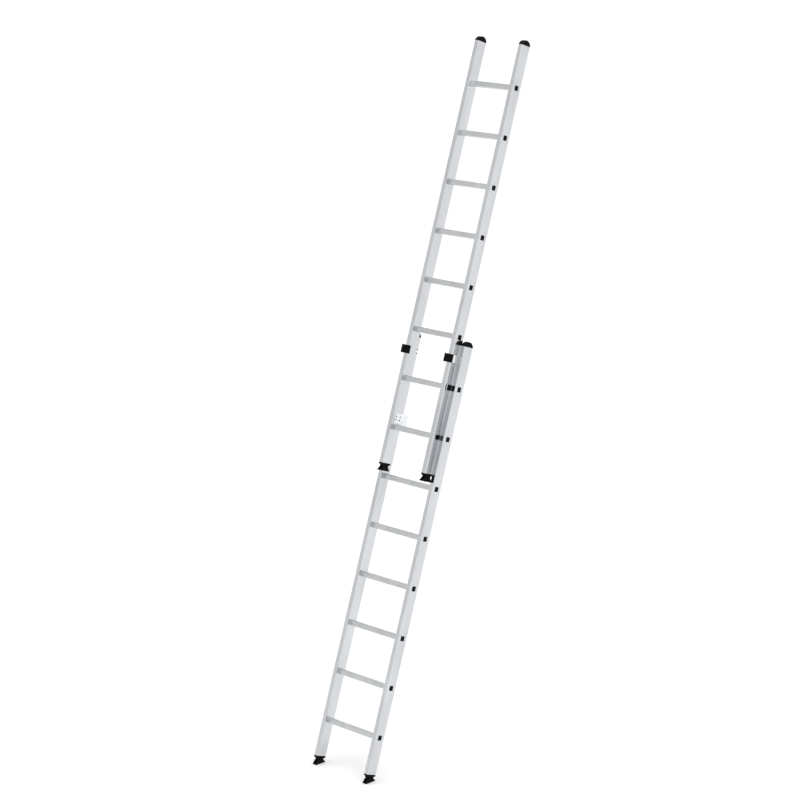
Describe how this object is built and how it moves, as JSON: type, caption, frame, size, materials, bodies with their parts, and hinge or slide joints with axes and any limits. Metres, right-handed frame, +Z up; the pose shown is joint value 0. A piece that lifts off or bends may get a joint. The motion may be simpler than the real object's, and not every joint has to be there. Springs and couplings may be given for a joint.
{
  "type": "extension ladder",
  "caption": "Push-up extension ladder: two sliding aluminium sections with square rungs, guides, rung hooks, end caps and hinged shoes, drawn out and leaning.",
  "frame": {"origin": "on the floor, under the middle of the ladder's bounding box", "axes": "+X to the climber's right along the rungs, +Y away from the climber towards the wall the ladder leans on, +Z up; the stiles lean back 18.5 degrees from +Z towards +Y"},
  "size_m": [0.424, 1.3258, 3.9633],
  "materials": {
    "stile_aluminium": "bright extruded, near mirror",
    "rung_aluminium": "bright extruded, fluted",
    "bracket_aluminium": "bright rolled sheet",
    "hook_steel": "bright zinc plate",
    "rivet_steel": "dull zinc plate",
    "pin_steel": "zinc plate",
    "black_plastic": "moulded, satin",
    "foot_plastic": "moulded, satin",
    "shoe_rubber": "moulded, matt"
  },
  "bodies": {
    "lower_section": {"lower_left_stile": "stile_aluminium", "lower_left_rung_plugs": "black_plastic", "lower_left_top_cap": "black_plastic", "lower_left_foot_socket": "foot_plastic", "lower_right_stile": "stile_aluminium", "lower_right_rung_plugs": "black_plastic", "lower_right_top_cap": "black_plastic", "lower_right_foot_socket": "foot_plastic", "lower_rung_1": "rung_aluminium", "lower_rung_2": "rung_aluminium", "lower_rung_3": "rung_aluminium", "lower_rung_4": "rung_aluminium", "lower_rung_5": "rung_aluminium", "lower_rung_6": "rung_aluminium", "lower_rung_7": "rung_aluminium", "lower_rung_8": "rung_aluminium", "left_guide_bracket": "bracket_aluminium", "left_guide_glide": "black_plastic", "left_guide_rivets": "rivet_steel", "right_guide_bracket": "bracket_aluminium", "right_guide_glide": "black_plastic", "right_guide_rivets": "rivet_steel"},
    "upper_section": {"upper_left_stile": "stile_aluminium", "upper_left_rung_plugs": "black_plastic", "upper_left_top_cap": "black_plastic", "upper_left_foot_socket": "foot_plastic", "upper_right_stile": "stile_aluminium", "upper_right_rung_plugs": "black_plastic", "upper_right_top_cap": "black_plastic", "upper_right_foot_socket": "foot_plastic", "upper_rung_1": "rung_aluminium", "upper_rung_2": "rung_aluminium", "upper_rung_3": "rung_aluminium", "upper_rung_4": "rung_aluminium", "upper_rung_5": "rung_aluminium", "upper_rung_6": "rung_aluminium", "upper_rung_7": "rung_aluminium", "upper_rung_8": "rung_aluminium", "left_rung_hook": "hook_steel", "left_hook_rivets": "rivet_steel", "left_extension_stop": "black_plastic", "right_rung_hook": "hook_steel", "right_hook_rivets": "rivet_steel", "right_extension_stop": "black_plastic"},
    "lower_left_shoe": {"lower_left_shoe": "shoe_rubber", "lower_left_shoe_pin": "pin_steel"},
    "lower_right_shoe": {"lower_right_shoe": "shoe_rubber", "lower_right_shoe_pin": "pin_steel"},
    "upper_left_shoe": {"upper_left_shoe": "shoe_rubber", "upper_left_shoe_pin": "pin_steel"},
    "upper_right_shoe": {"upper_right_shoe": "shoe_rubber", "upper_right_shoe_pin": "pin_steel"}
  },
  "joints": [
    {"name": "extension_slide", "type": "slide", "parent": "lower_section", "child": "upper_section", "axis": [0, 0.3173, 0.9483], "range_m": [-1.68, 0.12]},
    {"name": "lower_left_shoe_tilt", "type": "hinge", "parent": "lower_section", "child": "lower_left_shoe", "pos_m": [-0.1975, -0.62791, 0.017], "axis": [1, 0, 0], "range_deg": [-43.5, 6.5]},
    {"name": "lower_right_shoe_tilt", "type": "hinge", "parent": "lower_section", "child": "lower_right_shoe", "pos_m": [0.1975, -0.62791, 0.017], "axis": [1, 0, 0], "range_deg": [-43.5, 6.5]},
    {"name": "upper_left_shoe_tilt", "type": "hinge", "parent": "upper_section", "child": "upper_left_shoe", "pos_m": [-0.1625, -0.14387, 1.62659], "axis": [1, 0, 0], "range_deg": [-25, 25]},
    {"name": "upper_right_shoe_tilt", "type": "hinge", "parent": "upper_section", "child": "upper_right_shoe", "pos_m": [0.1625, -0.14387, 1.62659], "axis": [1, 0, 0], "range_deg": [-25, 25]}
  ]
}
